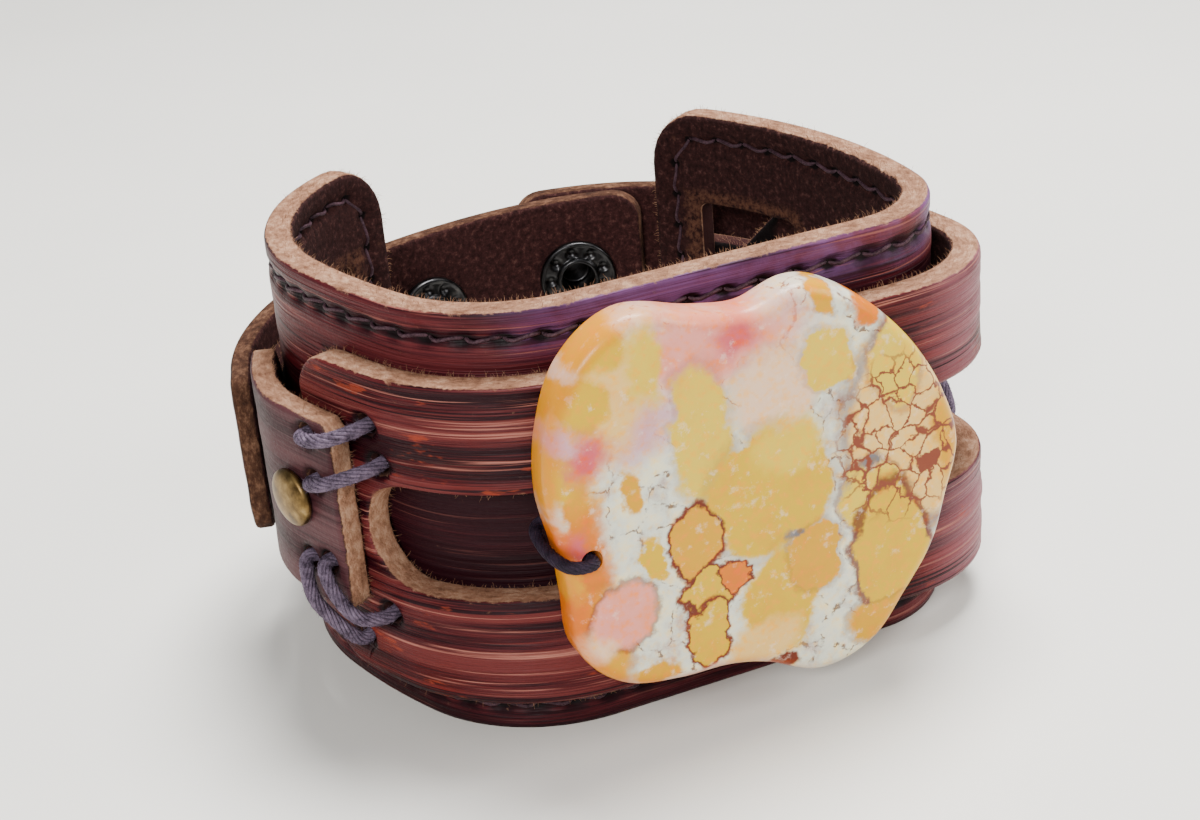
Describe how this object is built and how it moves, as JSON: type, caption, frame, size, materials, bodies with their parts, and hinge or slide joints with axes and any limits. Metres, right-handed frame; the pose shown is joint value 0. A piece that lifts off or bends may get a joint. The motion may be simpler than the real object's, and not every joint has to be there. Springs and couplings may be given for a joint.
{
  "type": "leather cuff bracelet",
  "caption": "Wide leather cuff bracelet with a windowed overlay band, laced tongues, a snapped closure strap and a freeform stone slab on its front.",
  "frame": {"origin": "under the middle of the cuff's box, on the surface that its lower edge rests on", "axes": "+Z along the wrist, +X across the wrist, and the stone faces -Y"},
  "size_m": [0.0846, 0.0796, 0.0508],
  "materials": {
    "base_leather": "satin, scored",
    "overlay_leather": "satin, scored",
    "tab_leather": "smooth, waxed",
    "strap_leather": "matt",
    "brass": "antique",
    "gunmetal": "satin, blackened",
    "cord": "waxed thread",
    "stone": "polished"
  },
  "bodies": {
    "root": {"base_cuff": "base_leather", "lace_left_1": "cord", "lace_left_2": "cord", "lace_left_3": "cord", "lace_left_4": "cord", "lace_right_1": "cord", "lace_right_2": "cord", "lace_right_3": "cord", "lace_right_4": "cord", "overlay_band": "overlay_leather", "rivet_left": "brass", "rivet_right": "brass", "snap_cap": "gunmetal", "snap_stud_1": "gunmetal", "snap_stud_2": "gunmetal", "stone": "stone", "stone_cord": "cord", "strap_left": "strap_leather", "strap_right": "strap_leather", "tab_left": "tab_leather", "tab_right": "tab_leather"}
  },
  "joints": []
}
